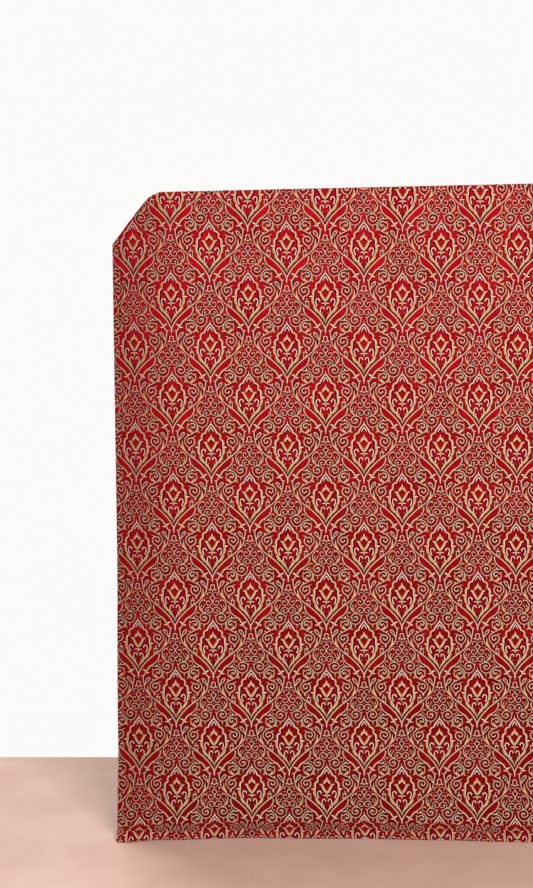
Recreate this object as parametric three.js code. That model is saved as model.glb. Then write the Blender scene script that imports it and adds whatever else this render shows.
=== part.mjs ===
// A length of damask velvet furnishing cloth, hung by its top fold with its foot lying on the floor.
// Millimetres. +X runs along the top fold to the right, the figured face looks along -Y, +Z is up.
// The origin is the middle of the top fold, on its crest, where the cloth is held.
import * as THREE from "three";

// The cloth
const WIDTH = 1370; // from side edge to side edge, a usual width of furnishing cloth
const THICKNESS = 2; // ground and pile together
const SKEW = Math.tan(THREE.MathUtils.degToRad(0.35)); // the whole length leans to the right going down

// The top fold, with the cloth turned back behind it
const FOLD_HEIGHT = 943; // the crest above the floor, half way across
const FOLD_SLOPE = Math.tan(THREE.MathUtils.degToRad(1.27)); // the fold climbs to the right
const FOLD_RADIUS = 2; // of the middle of the cloth, so its two layers hang 2 mm apart
const TURNED_BACK = 65; // how far the cloth comes down behind the fold at the left side
const RIM_DROP = 8; // what is left of that at the foot of the corner fold

// The top left corner, folded back along a slant
const CORNER_ACROSS = 60;
const CORNER_DOWN = 72;
const CORNER_ROUNDING = 17;
const CORNER_FLARE = 1.06; // drop of the folded corner for each millimetre across

// The left side, which turns softly back along an arc
const SIDE_WIDTH = 105;
const SIDE_TURN_TOP = THREE.MathUtils.degToRad(25);
const SIDE_TURN_FOOT = THREE.MathUtils.degToRad(14.5);
const SIDE_EASES_FROM = 420; // height at which the turn starts to ease, going down
const SIDE_EASES_TO = 150;

// The foot: the cloth turns forward in a crease just above the floor, slopes gently
// and then rolls down to it
const CREASE_HEIGHT = 19.1; // where the crease starts, above the floor
const CREASE_RADIUS = 5; // of the middle of the cloth
const ROLL_RADIUS = 9;
const GENTLE = THREE.MathUtils.degToRad(17); // below level, after the crease
const STEEP = THREE.MathUtils.degToRad(75); // below level, after the roll
const LAST = 3; // straight cloth between the roll and the lower edge
const OUT_FROM = 130; // height above the floor from which the foot is drawn forward
// A row for each place across: how far the crease is drawn forward, and the cloth below it
const FOOT = [
  { across: 0, out: 34, length: 33.5 },
  { across: 70, out: 12, length: 34 },
  { across: 190, out: 0, length: 34.5 },
  { across: 330, out: 3, length: 35 },
  { across: 450, out: 9, length: 34.5 },
  { across: 590, out: 19, length: 35 },
  { across: 820, out: 8, length: 34 },
  { across: 1050, out: 3, length: 35 },
  { across: 1370, out: 12, length: 34 },
];

// Faint upright swells in the front: how far each stands out and how wide it is
const SWELLS = [
  { across: 250, out: 1.6, spread: 60 },
  { across: 520, out: 1.2, spread: 80 },
  { across: 860, out: 2, spread: 90 },
  { across: 1150, out: 1.4, spread: 70 },
];

// Steps of the surface
const SIDE_STEPS = 8;
const CORNER_STEPS = 8;
const WIDTH_STEPS = 27;
const RETURN_STEPS = 3;
const FOLD_STEPS = 6;
const FRONT_STEPS = 17;
const CREASE_STEPS = 4;
const SLOPE_STEPS = 2;
const ROLL_STEPS = 5;

const FLOOR = -FOLD_HEIGHT;
const CREST = -THICKNESS / 2; // the middle of the cloth at the crest, half way across
const FRONT = -FOLD_RADIUS; // the middle of the front layer, from the middle of the fold
const CREASE_TOP = FLOOR + CREASE_HEIGHT;
const CREASE_LENGTH = CREASE_RADIUS * (Math.PI / 2 - GENTLE);
const ROLL_LENGTH = ROLL_RADIUS * (STEEP - GENTLE);

const { clamp, lerp, smoothstep } = THREE.MathUtils;

// The crest of the straight fold
function straightFold(across) {
  return CREST + FOLD_SLOPE * (across - WIDTH / 2);
}

// The crest along the whole fold: straight, and slanting down over the corner
function foldCrest(across) {
  const straight = straightFold(across);
  const slant = straightFold(0) - CORNER_DOWN + (CORNER_DOWN / CORNER_ACROSS) * across;
  const near = Math.max(CORNER_ROUNDING - Math.abs(straight - slant), 0);
  return Math.min(straight, slant) - (near * near) / (4 * CORNER_ROUNDING);
}

// Height of the fold's round part, taller where the fold slants so that it stays round across itself
function foldRise(across) {
  const slope = foldCrest(across + 0.5) - foldCrest(across - 0.5);
  return FOLD_RADIUS * Math.hypot(1, slope);
}

// How far the cloth comes down behind the fold, its edge parallel to the lower edge
function returnDrop(across) {
  const straight = TURNED_BACK - (straightFold(across) - straightFold(0));
  return Math.min(straight, RIM_DROP + CORNER_FLARE * across);
}

// How far the left side is turned at a height
function sideTurn(z) {
  const eased = smoothstep(z - FLOOR, SIDE_EASES_TO, SIDE_EASES_FROM);
  return lerp(SIDE_TURN_FOOT, SIDE_TURN_TOP, eased);
}

// How far the front stands out at a place across
function swell(across) {
  const out = (row) => row.out * Math.exp(-(((across - row.across) / row.spread) ** 2));
  return SWELLS.reduce((sum, row) => sum + out(row), 0);
}

// A value from the foot's table, eased from row to row
function footValue(across, name) {
  const place = clamp(across, 0, WIDTH);
  const next = Math.max(FOOT.findIndex((row) => row.across >= place), 1);
  const [from, to] = [FOOT[next - 1], FOOT[next]];
  return lerp(from[name], to[name], smoothstep(place, from.across, to.across));
}

// How far the cloth is drawn forward at a height, more towards the floor
function drawnForward(across, z) {
  return footValue(across, "out") * (1 - smoothstep(z, CREASE_TOP, FLOOR + OUT_FROM));
}

// A point of the upright cloth at a height, set back from the front layer by depth
function upright(across, z, depth) {
  const turn = sideTurn(z);
  const radius = SIDE_WIDTH / turn;
  const angle = turn * Math.max(1 - across / SIDE_WIDTH, 0);
  const lean = SKEW * (CREST - z);
  const front = FRONT - swell(across) - drawnForward(across, z);
  return new THREE.Vector3(
    Math.max(across, SIDE_WIDTH) - WIDTH / 2 + lean - (radius - depth) * Math.sin(angle),
    front + radius - (radius - depth) * Math.cos(angle),
    z,
  );
}

// A place on the foot, a length of cloth below the top of the crease: how far forward and down
function footPlace(across, length) {
  const slope = footValue(across, "length") - CREASE_LENGTH - ROLL_LENGTH - LAST;
  const creased = Math.PI / 2 - Math.min(length, CREASE_LENGTH) / CREASE_RADIUS;
  const sloped = clamp(length - CREASE_LENGTH, 0, slope);
  const rolled = GENTLE + clamp(length - CREASE_LENGTH - slope, 0, ROLL_LENGTH) / ROLL_RADIUS;
  const last = Math.max(length - CREASE_LENGTH - slope - ROLL_LENGTH, 0);
  const forward = CREASE_RADIUS * (1 - Math.sin(creased)) + sloped * Math.cos(GENTLE)
    + ROLL_RADIUS * (Math.sin(rolled) - Math.sin(GENTLE)) + last * Math.cos(STEEP);
  const down = CREASE_RADIUS * Math.cos(creased) + sloped * Math.sin(GENTLE)
    + ROLL_RADIUS * (Math.cos(GENTLE) - Math.cos(rolled)) + last * Math.sin(STEEP);
  return [forward, down];
}

// The lengths of cloth below the top of the crease at which the foot has its rows
function footRows(across) {
  const slope = footValue(across, "length") - CREASE_LENGTH - ROLL_LENGTH - LAST;
  const rows = [];
  let start = 0;
  for (const [length, steps] of [
    [CREASE_LENGTH, CREASE_STEPS], [slope, SLOPE_STEPS], [ROLL_LENGTH, ROLL_STEPS], [LAST, 1],
  ]) {
    for (let i = 1; i <= steps; i += 1) rows.push(start + (length * i) / steps);
    start += length;
  }
  return rows;
}

// One column of the cloth's middle surface, from the turned back edge over the fold to the foot
function column(across) {
  const crest = foldCrest(across);
  const rise = foldRise(across);
  const shoulder = crest - rise;
  const drop = returnDrop(across);
  const points = [];
  for (let i = 0; i < RETURN_STEPS; i += 1) {
    points.push(upright(across, shoulder - drop * (1 - i / RETURN_STEPS), 2 * FOLD_RADIUS));
  }
  for (let i = 0; i <= FOLD_STEPS; i += 1) {
    const angle = (Math.PI * i) / FOLD_STEPS;
    const depth = FOLD_RADIUS * (1 + Math.cos(angle));
    points.push(upright(across, shoulder + rise * Math.sin(angle), depth));
  }
  for (let i = 1; i <= FRONT_STEPS; i += 1) {
    points.push(upright(across, lerp(shoulder, CREASE_TOP, i / FRONT_STEPS), 0));
  }
  const { x, y } = points.at(-1);
  for (const length of footRows(across)) {
    const [forward, down] = footPlace(across, length);
    points.push(new THREE.Vector3(x, y - forward, CREASE_TOP - down));
  }
  return points;
}

// Places across: close together over the corner fold and the turned side, wider over the rest
function placesAcross() {
  const places = [];
  for (let i = 0; i < CORNER_STEPS; i += 1) places.push((CORNER_ACROSS * i) / CORNER_STEPS);
  for (let i = 0; i < SIDE_STEPS; i += 1) {
    places.push(lerp(CORNER_ACROSS, SIDE_WIDTH, i / SIDE_STEPS));
  }
  for (let i = 0; i <= WIDTH_STEPS; i += 1) {
    places.push(lerp(SIDE_WIDTH, WIDTH, i / WIDTH_STEPS));
  }
  return places;
}

// Unit normals of a grid of points, towards the figured face
function gridNormals(grid) {
  const at = (i, j) => grid[clamp(i, 0, grid.length - 1)][clamp(j, 0, grid[0].length - 1)];
  const normal = (i, j) => {
    const alongWidth = at(i + 1, j).clone().sub(at(i - 1, j));
    const alongColumn = at(i, j + 1).clone().sub(at(i, j - 1));
    return alongColumn.cross(alongWidth).normalize();
  };
  return grid.map((points, i) => points.map((_, j) => normal(i, j)));
}

// A closed sheet: the figured face, the back and the four edges between them
function sheetGeometry(grid, thickness) {
  const [columns, rows] = [grid.length, grid[0].length];
  const normals = gridNormals(grid);
  const positions = [];
  for (const side of [0.5, -0.5]) {
    grid.forEach((points, i) => points.forEach((point, j) => {
      positions.push(...point.clone().addScaledVector(normals[i][j], side * thickness));
    }));
  }
  const index = (side, i, j) => (side * columns + i) * rows + j;
  const faces = [];
  const quad = (a, b, c, d) => faces.push(a, b, c, a, c, d);
  for (let i = 0; i + 1 < columns; i += 1) {
    for (let j = 0; j + 1 < rows; j += 1) {
      quad(index(0, i, j), index(0, i, j + 1), index(0, i + 1, j + 1), index(0, i + 1, j));
      quad(index(1, i, j), index(1, i + 1, j), index(1, i + 1, j + 1), index(1, i, j + 1));
    }
    quad(index(0, i, 0), index(0, i + 1, 0), index(1, i + 1, 0), index(1, i, 0));
    const last = rows - 1;
    quad(index(0, i, last), index(1, i, last), index(1, i + 1, last), index(0, i + 1, last));
  }
  for (let j = 0; j + 1 < rows; j += 1) {
    const last = columns - 1;
    quad(index(0, 0, j), index(1, 0, j), index(1, 0, j + 1), index(0, 0, j + 1));
    quad(index(0, last, j), index(0, last, j + 1), index(1, last, j + 1), index(1, last, j));
  }
  const geometry = new THREE.BufferGeometry();
  geometry.setAttribute("position", new THREE.Float32BufferAttribute(positions, 3));
  geometry.setIndex(faces);
  geometry.computeVertexNormals();
  return geometry;
}

const velvet = new THREE.MeshStandardMaterial({ color: 0x9e4f44, roughness: 0.9, metalness: 0 });

const cloth = new THREE.Mesh(sheetGeometry(placesAcross().map(column), THICKNESS), velvet);
cloth.name = "cloth";

const hanging = new THREE.Group();
hanging.add(cloth);

export default hanging;
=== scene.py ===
# %% [markdown]
# A length of damask velvet, hung by its top fold with its foot lying forward on the floor.
# The cloth's solid comes packed as a fixed frame. Everything here is in metres in that frame:
# +X along the top fold, -Y the way the figured face looks, +Z up, the origin on the fold's crest.

# %% Load the frame
import math
import bmesh
import bpy
import numpy as np
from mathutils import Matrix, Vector


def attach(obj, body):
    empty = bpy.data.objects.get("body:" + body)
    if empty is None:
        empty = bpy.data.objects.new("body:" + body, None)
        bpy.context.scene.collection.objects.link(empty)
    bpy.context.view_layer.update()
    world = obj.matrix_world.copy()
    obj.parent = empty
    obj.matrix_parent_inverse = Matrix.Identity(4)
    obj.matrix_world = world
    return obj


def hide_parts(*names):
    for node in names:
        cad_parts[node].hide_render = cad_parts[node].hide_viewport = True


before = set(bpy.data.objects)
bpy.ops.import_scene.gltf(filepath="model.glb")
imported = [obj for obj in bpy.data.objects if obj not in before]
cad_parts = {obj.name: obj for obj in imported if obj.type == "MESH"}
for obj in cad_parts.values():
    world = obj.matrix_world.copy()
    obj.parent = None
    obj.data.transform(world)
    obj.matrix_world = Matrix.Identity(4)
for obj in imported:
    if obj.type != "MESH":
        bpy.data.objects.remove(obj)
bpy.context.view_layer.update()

# %% [markdown]
# The camera comes first, because everything is judged through it. It stands 2.9 m in front of
# the cloth, left of its middle and just below the height of its top fold, and looks a little
# down.

# %% Camera
camera = bpy.data.objects.new("view", bpy.data.cameras.new("view"))
camera.data.lens = 81.7
camera.data.sensor_width = 36
camera.data.shift_x = -0.0073
camera.location = (-0.453, -2.862, -0.030)
camera.rotation_euler = (math.radians(83.2), 0, 0)
bpy.context.collection.objects.link(camera)
bpy.context.scene.camera = camera
bpy.context.scene.view_settings.view_transform = "Standard"
print("camera at", tuple(camera.location))

# %% [markdown]
# The cloth's own sizes, the same as its solid's. The top fold slopes a little, the top left
# corner is folded back along a slant, the left side turns softly back, and the foot turns
# forward in a crease just above the floor, slopes gently and then rolls down to it. A cloth
# simulation could find such a shape, but stated sizes give the same one on every run.

# %% Sizes of the hung cloth
WIDTH = 1.370
THICKNESS = 0.002
SKEW = math.tan(math.radians(0.35))
FOLD_HEIGHT = 0.943
FOLD_SLOPE = math.tan(math.radians(1.27))
FOLD_RADIUS = 0.002
TURNED_BACK = 0.065
RIM_DROP = 0.008
CORNER_ACROSS = 0.060
CORNER_DOWN = 0.072
CORNER_ROUNDING = 0.017
CORNER_FLARE = 1.06
SIDE_WIDTH = 0.105
SIDE_TURN_TOP = math.radians(25)
SIDE_TURN_FOOT = math.radians(14.5)
SIDE_EASES_FROM = 0.420
SIDE_EASES_TO = 0.150
CREASE_HEIGHT = 0.0191
CREASE_RADIUS = 0.005
ROLL_RADIUS = 0.009
GENTLE = math.radians(17)
STEEP = math.radians(75)
LAST = 0.003
OUT_FROM = 0.130
# Across, how far the crease is drawn forward, the cloth below it
FOOT = np.array([
    (0.000, 0.034, 0.0335),
    (0.070, 0.012, 0.0340),
    (0.190, 0.000, 0.0345),
    (0.330, 0.003, 0.0350),
    (0.450, 0.009, 0.0345),
    (0.590, 0.019, 0.0350),
    (0.820, 0.008, 0.0340),
    (1.050, 0.003, 0.0350),
    (1.370, 0.012, 0.0340),
])
# Across, how far it stands out, how wide it is
SWELLS = [(0.250, 0.0016, 0.060), (0.520, 0.0012, 0.080), (0.860, 0.0020, 0.090), (1.150, 0.0014, 0.070)]
FLOOR = -FOLD_HEIGHT
CREST = -THICKNESS / 2
FRONT = -FOLD_RADIUS
CREASE_TOP = FLOOR + CREASE_HEIGHT
CREASE_LENGTH = CREASE_RADIUS * (math.pi / 2 - GENTLE)
ROLL_LENGTH = ROLL_RADIUS * (STEEP - GENTLE)
print("upright part is", round(CREST - CREASE_TOP, 3), "m high half way across")

# %% [markdown]
# Any point of the flat cloth is named by how far it lies across from the left edge and how far
# along, up the cloth from the top of the crease at its foot. One function hangs such points, so
# the cloth and the woven figure on it follow the same shape without being fitted to each other.

# %% From flat cloth to hung cloth
def smoothstep(value, low, high):
    part = np.clip((value - low) / (high - low), 0, 1)
    return part * part * (3 - 2 * part)


def fold_crest(across):
    straight = CREST + FOLD_SLOPE * (across - WIDTH / 2)
    slant = CREST - FOLD_SLOPE * WIDTH / 2 - CORNER_DOWN + CORNER_DOWN / CORNER_ACROSS * across
    near = np.maximum(CORNER_ROUNDING - np.abs(straight - slant), 0)
    return np.minimum(straight, slant) - near**2 / (4 * CORNER_ROUNDING)


def fold_rise(across, reach=0.0005):
    slope = (fold_crest(across + reach) - fold_crest(across - reach)) / (2 * reach)
    return FOLD_RADIUS * np.hypot(1, slope)


def upright_length(across):
    return fold_crest(across) - fold_rise(across) - CREASE_TOP


def fold_length(across):
    return math.pi / 2 * (FOLD_RADIUS + fold_rise(across))


def return_drop(across):
    return np.minimum(TURNED_BACK - FOLD_SLOPE * across, RIM_DROP + CORNER_FLARE * across)


def side_turn(z):
    eased = smoothstep(z - FLOOR, SIDE_EASES_TO, SIDE_EASES_FROM)
    return SIDE_TURN_FOOT + (SIDE_TURN_TOP - SIDE_TURN_FOOT) * eased


def swell(across):
    return sum(out * np.exp(-(((across - middle) / spread) ** 2)) for middle, out, spread in SWELLS)


def foot_value(across, column):
    place = np.clip(across, 0, WIDTH)
    after = np.clip(np.searchsorted(FOOT[:, 0], place), 1, len(FOOT) - 1)
    before = after - 1
    part = smoothstep(place, FOOT[before, 0], FOOT[after, 0])
    return FOOT[before, column] + (FOOT[after, column] - FOOT[before, column]) * part


def drawn_forward(across, z):
    return foot_value(across, 1) * (1 - smoothstep(z, CREASE_TOP, FLOOR + OUT_FROM))


def lowest(across):
    return -foot_value(across, 2)


def slope_length(across):
    return foot_value(across, 2) - CREASE_LENGTH - ROLL_LENGTH - LAST


def foot_place(across, length):
    """How far forward and down the foot comes, a length of cloth below the top of the crease."""
    slope = slope_length(across)
    creased = math.pi / 2 - np.minimum(length, CREASE_LENGTH) / CREASE_RADIUS
    sloped = np.clip(length - CREASE_LENGTH, 0, slope)
    rolled = GENTLE + np.clip(length - CREASE_LENGTH - slope, 0, ROLL_LENGTH) / ROLL_RADIUS
    last = np.maximum(length - CREASE_LENGTH - slope - ROLL_LENGTH, 0)
    forward = CREASE_RADIUS * (1 - np.sin(creased)) + sloped * math.cos(GENTLE)
    forward += ROLL_RADIUS * (np.sin(rolled) - math.sin(GENTLE)) + last * math.cos(STEEP)
    down = CREASE_RADIUS * np.cos(creased) + sloped * math.sin(GENTLE)
    down += ROLL_RADIUS * (math.cos(GENTLE) - np.cos(rolled)) + last * math.sin(STEEP)
    return forward, down


def highest(across):
    return upright_length(across) + fold_length(across) + return_drop(across)


def hang_middle(across, along):
    rise = fold_rise(across)
    shoulder = fold_crest(across) - rise
    past = along - upright_length(across)
    angle = np.clip(past / fold_length(across), 0, 1) * math.pi
    depth = FOLD_RADIUS * (1 - np.cos(angle))
    behind = np.maximum(past - fold_length(across), 0)
    z = np.where(past < 0, CREASE_TOP + np.maximum(along, 0), shoulder + rise * np.sin(angle) - behind)
    turn = side_turn(z)
    radius = SIDE_WIDTH / turn
    angle = turn * np.maximum(1 - across / SIDE_WIDTH, 0)
    x = np.maximum(across, SIDE_WIDTH) - WIDTH / 2 + SKEW * (CREST - z)
    x = x - (radius - depth) * np.sin(angle)
    y = FRONT - swell(across) - drawn_forward(across, z) + radius - (radius - depth) * np.cos(angle)
    forward, down = foot_place(across, np.maximum(-along, 0))
    return np.stack([x, y - forward, z - down], axis=-1)


def hang(across, along, lift):
    """Points of the hung cloth, lifted off its middle towards the figured face."""
    step = 0.0002
    sideways = hang_middle(across + step, along) - hang_middle(across - step, along)
    upwards = hang_middle(across, along + step) - hang_middle(across, along - step)
    normal = np.cross(sideways, upwards)
    normal /= np.linalg.norm(normal, axis=-1, keepdims=True)
    return hang_middle(across, along) + normal * np.asarray(lift)[..., None]


middle = np.array([WIDTH / 2])
FLAT_LENGTH = float(highest(middle)[0] - lowest(middle)[0])
print("flat length half way across:", round(FLAT_LENGTH, 3), "m")

# %% [markdown]
# Node trees are written as Python expressions. A value wraps one socket, and arithmetic on it
# adds the Math nodes. Any other node comes from one method that takes its type, its settings,
# and what goes into its sockets.

# %% Helpers for node trees
class Value:
    """One socket of a node tree; arithmetic on it adds Math nodes."""

    def __init__(self, bench, socket):
        self.bench = bench
        self.socket = socket

    def math(self, operation, *others):
        values = {index + 1: other for index, other in enumerate(others)}
        return self.bench.node("ShaderNodeMath", {"operation": operation}, {0: self, **values})

    def __add__(self, other):
        return self.math("ADD", other)

    def __mul__(self, other):
        return self.math("MULTIPLY", other)

    def __sub__(self, other):
        return self.math("SUBTRACT", other)

    def __rsub__(self, other):
        return self.math("MULTIPLY", -1) + other

    def clamp(self, low=0.0, high=1.0):
        return self.math("MAXIMUM", low).math("MINIMUM", high)

    def step(self, low, high):
        """0 below low, 1 above high, eased between."""
        values = {"Value": self, "From Min": low, "From Max": high}
        return self.bench.node("ShaderNodeMapRange", {"interpolation_type": "SMOOTHSTEP"}, values)

    def wave(self, length):
        """A wave from 0 to 1 and back for each length."""
        return (self * (2 * math.pi / length)).math("SINE") * 0.5 + 0.5


class Bench:
    """A node tree that nodes are added to."""

    def __init__(self, tree):
        self.tree = tree

    def made(self, kind, settings=None, values=None):
        node = self.tree.nodes.new(kind)
        for name, setting in (settings or {}).items():
            setattr(node, name, setting)
        for name, value in (values or {}).items():
            if isinstance(value, Value):
                self.tree.links.new(value.socket, node.inputs[name])
            else:
                node.inputs[name].default_value = value
        return node

    def node(self, kind, settings=None, values=None, out=None):
        node = self.made(kind, settings, values)
        shown = [socket for socket in node.outputs if socket.enabled]
        return Value(self, shown[0] if out is None else node.outputs[out])

    def blend(self, part, first, second):
        """A colour between two."""
        values = {"Factor": part, 6: first, 7: second}
        return self.node("ShaderNodeMix", {"data_type": "RGBA"}, values, out=2)

    def tinted(self, colour, tint):
        """A colour multiplied by another."""
        values = {"Factor": 1.0, 6: colour, 7: tint}
        return self.node("ShaderNodeMix", {"data_type": "RGBA", "blend_type": "MULTIPLY"}, values, out=2)

    def noise(self, place, scale, detail=2.0, stretch=None):
        if stretch:
            place = self.node("ShaderNodeVectorMath", {"operation": "MULTIPLY"}, {0: place, 1: stretch})
        return self.node("ShaderNodeTexNoise", None, {"Vector": place, "Scale": scale, "Detail": detail})


print("node helpers ready")

# %% [markdown]
# A finish is a Principled shader with what varies worked out around it: its colour, its
# roughness and a bump for its relief. Numbers that are the same all over stay on the shader.

# %% A finish
def finish(name, build, **constants):
    """A material; build gives its colour, roughness and height in metres from a bench."""
    material = bpy.data.materials.new(name)
    material.use_nodes = True
    bench = Bench(material.node_tree)
    shader = material.node_tree.nodes["Principled BSDF"]
    for socket, value in constants.items():
        shader.inputs[socket.replace("_", " ")].default_value = value
    colour, roughness, height = build(bench)
    bump = bench.node("ShaderNodeBump", None, {"Height": height, "Distance": 1.0, "Strength": 1.0})
    for socket, value in (("Base Color", colour), ("Roughness", roughness), ("Normal", bump)):
        material.node_tree.links.new(value.socket, shader.inputs[socket])
    return material


def flat_place(bench):
    """Where a point lies on the flat cloth, in metres across and along."""
    place = bench.node("ShaderNodeUVMap", {"uv_map": "flat"})
    parts = bench.made("ShaderNodeSeparateXYZ", None, {0: place})
    return place, Value(bench, parts.outputs[0]), Value(bench, parts.outputs[1])


# %% [markdown]
# The ground of this velvet is a deep red cut pile, matt with a sheen at a slant. Its tufts
# could be made as hair, but that would take millions of them, so fine noise and fine rows stand
# for them. The nap leans up the cloth: a bump that climbs with it turns its face a little
# towards the floor. The red is painted darker towards the foot, a painted shade where the key
# lamp's light falls off. The back is a plain red and tan weave.

# %% Ground pile and back weave
NAP_LEAN = 0.36
PILE_ROW = 0.0011
PILE_LOW = (0.30, 0.0008, 0.007, 1)
PILE_DEEP = (0.49, 0.0014, 0.012, 1)
PILE_BRIGHT = (0.73, 0.0022, 0.021, 1)
FOOT_PAINTED_SHADE = (0.64, 0.8, 0.38, 1)
NO_TINT = (1, 1, 1, 1)
RED_SHEEN = (1.0, 0.06, 0.06, 1)
BACK_LOW = (0.10, 0.014, 0.012, 1)
BACK_RED = (0.33, 0.055, 0.040, 1)
BACK_TAN = (0.42, 0.27, 0.13, 1)


def ground_pile(bench):
    place, _, along = flat_place(bench)
    nap = bench.noise(place, 26, 3, (1.0, 0.6, 1.0))
    tufts = bench.noise(place, 900, 2)
    rows = along.wave(PILE_ROW)
    tips = bench.blend(nap.step(0.35, 0.7), PILE_DEEP, PILE_BRIGHT)
    pile = bench.blend((tufts.step(0.3, 0.75) * 0.7 + rows * 0.3).clamp(), PILE_LOW, tips)
    # Painted shade: the red is darkened and tinted towards the foot, where the lamp's light falls off.
    tint = bench.blend(along.step(0.0, 0.95), FOOT_PAINTED_SHADE, NO_TINT)
    height = tufts * 0.0003 + rows * 0.00012 + along.math("MAXIMUM", 0) * NAP_LEAN
    return bench.tinted(pile, tint), tufts * 0.2 + 0.75, height


def back_weave(bench):
    place, across, along = flat_place(bench)
    warp = across.wave(0.0016)
    weft = along.wave(0.0014)
    floats = bench.noise(place, 220, 2, (1.0, 0.35, 1.0)).step(0.45, 0.6)
    plain = bench.blend(warp * weft, BACK_LOW, BACK_RED)
    colour = bench.blend(floats * weft * 0.8, plain, BACK_TAN)
    return colour, warp * 0.1 + 0.82, warp * weft * 0.0003 + floats * 0.0001


velvet_pile = finish(
    "velvet_ground", ground_pile,
    Sheen_Weight=0.12, Sheen_Roughness=0.5, Sheen_Tint=RED_SHEEN, Specular_IOR_Level=0.02,
)
plain_back = finish("plain_back", back_weave, Sheen_Weight=0.1, Specular_IOR_Level=0.2)
print("finishes:", velvet_pile.name, plain_back.name)

# %% [markdown]
# The figured yarns float on the ground. Each stroke is cream with a band of its own tone along
# it, towards its shaded side, and its yarns run as fine twisted cords, whose face is turned a
# little upwards. Red pile stands over the strokes' rims. At the turned side the strokes are
# darkened towards the same red as painted shade, as that side faces away from the lamp, and
# below the crease they are darkened towards it too. The yarn around the strokes is a red so dark
# that it is nearly black, and lies between them and the ground; part of its width and its soft
# red rim are painted shadow that the raised strokes cast on the pile. Each ribbon carries its
# tone and shaded side as numbers, so one finish serves every stroke.

# %% Figured yarns
TONE_COLOURS = {
    "sage": (0.50, 0.42, 0.24, 1),
    "gold": (0.62, 0.41, 0.12, 1),
    "cream": (0.94, 0.74, 0.57, 1),
    "olive": (0.010, 0.007, 0.006, 1),
}
TONES = {name: number for number, name in enumerate(TONE_COLOURS)}
VEIN = (0.10, 0.03, 0.015, 1)
SHADED_RIM = (0.13, 0.08, 0.035, 1)
PILE_OVER_YARN_AND_SHADE = (0.34, 0.02, 0.012, 1)
YARN_LOW = (0.62, 0.58, 0.52, 1)
YARN_HIGH = (1.08, 1.06, 1.02, 1)
OUTLINE_LOW = (0.004, 0.0004, 0.0004, 1)
OUTLINE_HIGH = (0.025, 0.0006, 0.0008, 1)
OUTLINE_SHADOW_RIM = (0.26, 0.0005, 0.005, 1)
FLOAT_LEAN = 0.8


def attribute(bench, name):
    return bench.node("ShaderNodeAttribute", {"attribute_name": name}, out=2)


def tone_colour(bench, tone):
    colour, *others = TONE_COLOURS.values()
    for index, other in enumerate(others):
        colour = bench.blend(tone.math("GREATER_THAN", index + 0.5), colour, other)
    return colour


def figure_yarn(bench):
    place, across, along = flat_place(bench)
    edge = attribute(bench, "edge")
    lean = attribute(bench, "lean")
    tone = attribute(bench, "tone")
    offset = (edge - lean * 0.36).math("ABSOLUTE")
    band = (1 - offset.step(0.5, 0.62)).math("MAXIMUM", tone - TONES["cream"])
    colour = bench.blend(band, TONE_COLOURS["cream"], tone_colour(bench, tone))
    vein = 1 - (offset - 0.56).math("ABSOLUTE").step(0.04, 0.16)
    gold = tone.math("COMPARE", TONES["gold"], 0.5)
    colour = bench.blend(vein * gold * 0.85, colour, VEIN)
    colour = bench.blend((edge * lean).step(0.8, 1.0) * 0.5, colour, SHADED_RIM)
    rim = edge.math("ABSOLUTE").step(0.66, 0.96) * 0.8
    # Painted shade: the strokes darken towards red at the turned side, which faces away from the lamp.
    turned = (1 - across.step(0.02, 0.14)) * 0.32
    # Below the crease the strokes darken towards the same red.
    bent = (1 - along.step(-0.004, 0.006)) * 0.3
    rim_pile_and_shade = rim.math("MAXIMUM", turned).math("MAXIMUM", bent)
    colour = bench.blend(rim_pile_and_shade, colour, PILE_OVER_YARN_AND_SHADE)
    twist = (across * 0.8 + along).wave(0.0009)
    fibres = bench.noise(place, 1400, 2)
    tint = bench.blend((twist * 0.35 + fibres * 0.65).step(0.2, 0.75), YARN_LOW, YARN_HIGH)
    height = (1 - edge * edge) * 0.00025 + twist * 0.00008 - along.math("MAXIMUM", 0) * FLOAT_LEAN
    return bench.tinted(colour, tint), fibres * 0.2 + 0.55, height


def outline_yarn_and_shadow(bench):
    place, _, along = flat_place(bench)
    fibres = bench.noise(place, 1100, 2)
    rows = along.wave(PILE_ROW)
    dark = bench.blend((fibres * 0.7 + rows * 0.3).step(0.3, 0.7), OUTLINE_LOW, OUTLINE_HIGH)
    # Painted shadow: the outline fades to a soft red rim, a shadow of the raised stroke on the pile.
    rim = attribute(bench, "edge").math("ABSOLUTE").step(0.72, 1.0)
    height = fibres * 0.00015 + rows * 0.0001 + along.math("MAXIMUM", 0) * NAP_LEAN
    return bench.blend(rim, dark, OUTLINE_SHADOW_RIM), fibres * 0.2 + 0.75, height


figured = finish("figured_yarn", figure_yarn, Sheen_Weight=0.15, Specular_IOR_Level=0.3)
outlined = finish(
    "outline_yarn_and_shadow", outline_yarn_and_shadow, Sheen_Weight=0.05, Sheen_Tint=RED_SHEEN, Specular_IOR_Level=0.02,
)
print("finishes:", figured.name, outlined.name)

# %% [markdown]
# The cloth itself is one closed sheet 2 mm thick. A plane could be thickened by a modifier,
# but here the same grid of points is hung once for each face and joined around its edges, so
# both faces stay true round the fold. The points lie close together over the corner, the fold
# and the foot.

# %% Grid of the sheet
NEAR_FOOT = 0.12
ROWS_BETWEEN_MARKS = (2, 6, 3, 6, 14, 72, 12, 9)


def places_across():
    corner = np.linspace(0, CORNER_ACROSS + 0.012, 23)
    side = np.linspace(corner[-1], SIDE_WIDTH, 9)[1:]
    rest = np.linspace(SIDE_WIDTH, WIDTH, 141)[1:]
    return np.concatenate([corner, side, rest])


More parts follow.
